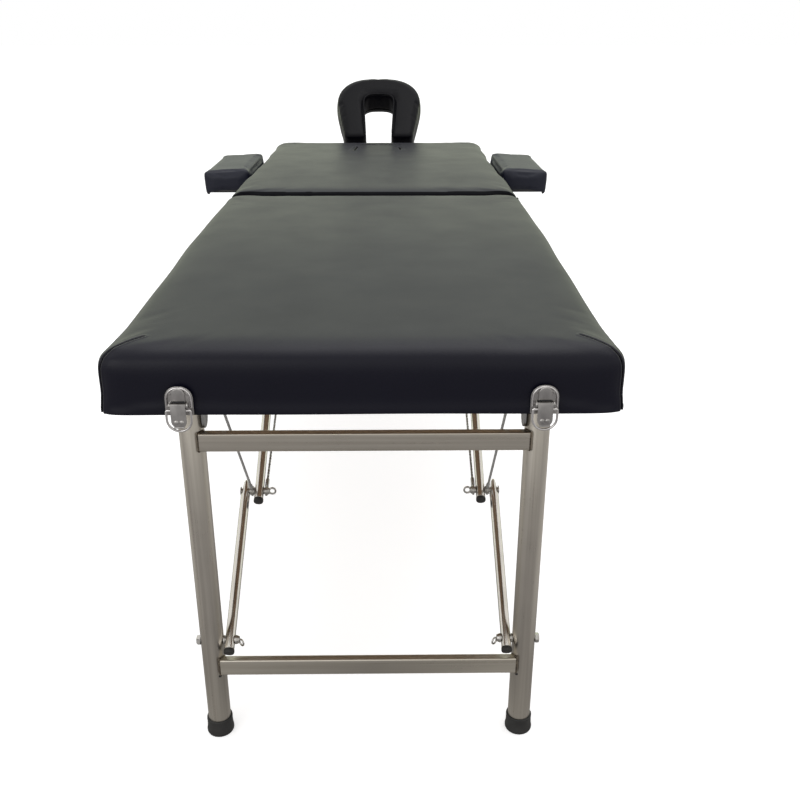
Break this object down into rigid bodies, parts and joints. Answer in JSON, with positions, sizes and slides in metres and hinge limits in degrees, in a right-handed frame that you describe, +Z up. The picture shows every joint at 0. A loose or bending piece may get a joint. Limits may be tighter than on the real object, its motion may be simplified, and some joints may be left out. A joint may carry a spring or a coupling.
{
  "type": "folding massage table",
  "caption": "Folding massage table with padded halves, a horseshoe headrest, side arm pads, steel leg frames, folding braces and draw latches.",
  "frame": {"origin": "on the floor under the middle of the whole table, headrest included", "axes": "+Z up, +Y along the table towards the headrest, +X to the right seen from the foot end"},
  "size_m": [0.811, 2.1484, 0.7702],
  "materials": {
    "cover": "soft satin",
    "headrest_cover": "soft satin",
    "plywood": "matt",
    "rail_wood": "matt",
    "leg_steel": "satin",
    "link_chrome": "polished",
    "hardware": "satin",
    "bracket_steel": "satin",
    "latch_nickel": "polished",
    "cable": "satin",
    "rubber": "matt",
    "black_plastic": "matt",
    "rod_steel": "polished"
  },
  "bodies": {
    "near_half": {"near_cushion": "cover", "near_border": "cover", "near_rails": "rail_wood", "near_deck": "plywood", "near_leg_brackets": "bracket_steel", "near_pivot_bolts": "hardware", "near_brace_brackets": "bracket_steel", "near_hinge_leaves": "bracket_steel", "near_leg_cables": "cable", "near_crease_cables": "cable", "latch_bases": "latch_nickel"},
    "near_leg_frame": {"near_legs": "leg_steel", "near_crossbars": "leg_steel", "near_feet": "rubber", "near_link_bolts": "hardware"},
    "near_lower_link_pair": {"near_lower_links": "link_chrome", "near_lower_link_plugs": "rubber", "near_elbow_bolts": "hardware"},
    "near_upper_link_pair": {"near_upper_links": "link_chrome", "near_upper_link_plugs": "rubber", "near_ring_nuts": "hardware"},
    "far_half": {"far_cushion": "cover", "far_border": "cover", "far_rails": "rail_wood", "far_deck": "plywood", "far_leg_brackets": "bracket_steel", "far_pivot_bolts": "hardware", "far_brace_brackets": "bracket_steel", "far_hinge_leaves": "bracket_steel", "far_leg_cables": "cable", "far_crease_cables": "cable", "latch_catches": "latch_nickel", "cradle_sockets": "black_plastic", "arm_pad_sockets": "black_plastic"},
    "far_leg_frame": {"far_legs": "leg_steel", "far_crossbars": "leg_steel", "far_feet": "rubber", "far_link_bolts": "hardware"},
    "far_lower_link_pair": {"far_lower_links": "link_chrome", "far_lower_link_plugs": "rubber", "far_elbow_bolts": "hardware"},
    "far_upper_link_pair": {"far_upper_links": "link_chrome", "far_upper_link_plugs": "rubber", "far_ring_nuts": "hardware"},
    "cradle_base": {"cradle_rods": "rod_steel", "cradle_knobs": "black_plastic"},
    "face_cradle": {"cradle_platform": "plywood", "cradle_ears": "bracket_steel", "face_cushion": "headrest_cover"},
    "left_arm_pad": {"left_arm_cushion": "cover", "left_arm_board": "plywood", "left_arm_rods": "rod_steel"},
    "left_lever": {"left_latch_lever": "latch_nickel"},
    "left_bail": {"left_latch_bail": "latch_nickel"},
    "right_arm_pad": {"right_arm_cushion": "cover", "right_arm_board": "plywood", "right_arm_rods": "rod_steel"},
    "right_lever": {"right_latch_lever": "latch_nickel"},
    "right_bail": {"right_latch_bail": "latch_nickel"}
  },
  "joints": [
    {"name": "center_fold", "type": "hinge", "parent": "near_half", "child": "far_half", "pos_m": [0, -0.13288, 0.527], "axis": [-1, 0, 0], "range_deg": [0, 105]},
    {"name": "near_leg_fold", "type": "hinge", "parent": "near_half", "child": "near_leg_frame", "pos_m": [0, -0.99288, 0.534], "axis": [1, 0, 0], "range_deg": [0, 90], "deforming": ["near_leg_cables", "near_crease_cables"]},
    {"name": "near_lower_link_turn", "type": "hinge", "parent": "near_leg_frame", "child": "near_lower_link_pair", "pos_m": [0, -0.99288, 0.159], "axis": [1, 0, 0], "range_deg": [0, 59.26]},
    {"name": "near_upper_link_turn", "type": "hinge", "parent": "near_half", "child": "near_upper_link_pair", "pos_m": [0, -0.35361, 0.54], "axis": [-1, 0, 0], "range_deg": [0, 30.16]},
    {"name": "far_leg_fold", "type": "hinge", "parent": "far_half", "child": "far_leg_frame", "pos_m": [0, 0.72712, 0.534], "axis": [-1, 0, 0], "range_deg": [0, 90], "deforming": ["far_leg_cables", "far_crease_cables"]},
    {"name": "far_lower_link_turn", "type": "hinge", "parent": "far_leg_frame", "child": "far_lower_link_pair", "pos_m": [0, 0.72712, 0.159], "axis": [-1, 0, 0], "range_deg": [0, 59.26]},
    {"name": "far_upper_link_turn", "type": "hinge", "parent": "far_half", "child": "far_upper_link_pair", "pos_m": [0, 0.08784, 0.54], "axis": [1, 0, 0], "range_deg": [0, 30.16]},
    {"name": "cradle_slide", "type": "slide", "parent": "far_half", "child": "cradle_base", "axis": [0, 1, 0], "range_m": [0, 0.04]},
    {"name": "cradle_tilt", "type": "hinge", "parent": "cradle_base", "child": "face_cradle", "pos_m": [0, 0.85212, 0.544], "axis": [1, 0, 0], "range_deg": [-34, 5]},
    {"name": "left_arm_pad_slide", "type": "slide", "parent": "far_half", "child": "left_arm_pad", "axis": [-1, 0, 0], "range_m": [0, 0.04]},
    {"name": "left_lever_turn", "type": "hinge", "parent": "near_half", "child": "left_lever", "pos_m": [-0.212, -1.07118, 0.549], "axis": [-1, 0, 0], "range_deg": [0, 100]},
    {"name": "left_bail_turn", "type": "hinge", "parent": "left_lever", "child": "left_bail", "pos_m": [-0.212, -1.07118, 0.5435], "axis": [-1, 0, 0], "range_deg": [0, 60]},
    {"name": "right_arm_pad_slide", "type": "slide", "parent": "far_half", "child": "right_arm_pad", "axis": [1, 0, 0], "range_m": [0, 0.04]},
    {"name": "right_lever_turn", "type": "hinge", "parent": "near_half", "child": "right_lever", "pos_m": [0.212, -1.07118, 0.549], "axis": [-1, 0, 0], "range_deg": [0, 100]},
    {"name": "right_bail_turn", "type": "hinge", "parent": "right_lever", "child": "right_bail", "pos_m": [0.212, -1.07118, 0.5435], "axis": [-1, 0, 0], "range_deg": [0, 60]}
  ],
  "couplings": [
    {"joint": "near_lower_link_turn", "follows": "near_leg_fold", "ratio": 0.65784},
    {"joint": "near_upper_link_turn", "follows": "near_leg_fold", "ratio": 0.33458},
    {"joint": "far_lower_link_turn", "follows": "far_leg_fold", "ratio": 0.65784},
    {"joint": "far_upper_link_turn", "follows": "far_leg_fold", "ratio": 0.33458}
  ]
}
